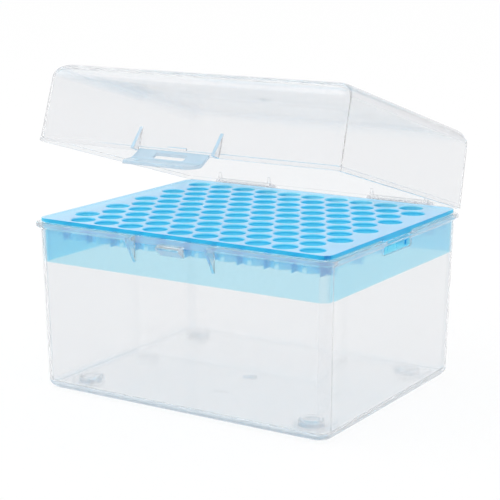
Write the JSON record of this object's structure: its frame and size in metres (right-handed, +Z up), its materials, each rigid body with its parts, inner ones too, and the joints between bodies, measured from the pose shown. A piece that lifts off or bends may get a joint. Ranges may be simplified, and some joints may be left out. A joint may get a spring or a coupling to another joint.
{
  "type": "pipette tip box",
  "caption": "Clear moulded box with a hinged lid standing partly open over a blue rack plate of staggered round holes for pipette tips.",
  "frame": {"origin": "middle of the flat underside of the base, where the box stands", "axes": "+Z up, +X along the long latch side, -Y towards the latch at the front, +Y towards the hinge at the back"},
  "size_m": [0.1176, 0.1069, 0.1115],
  "materials": {
    "clear_plastic_base": "natural polypropylene, clear with a slight haze, smooth walls",
    "blue_plastic_rack": "sky blue polypropylene that light passes through, satin",
    "clear_plastic_lid": "natural polypropylene, clear with a slight haze, smooth walls"
  },
  "bodies": {
    "box": {"base_box": "clear_plastic_base", "tip_rack": "blue_plastic_rack"},
    "lid": {"lid": "clear_plastic_lid"}
  },
  "joints": [
    {"name": "lid_hinge", "type": "hinge", "parent": "box", "child": "lid", "pos_m": [0, 0.04994, 0.05865], "axis": [-1, 0, 0], "range_deg": [-16.4, 93.6]}
  ]
}
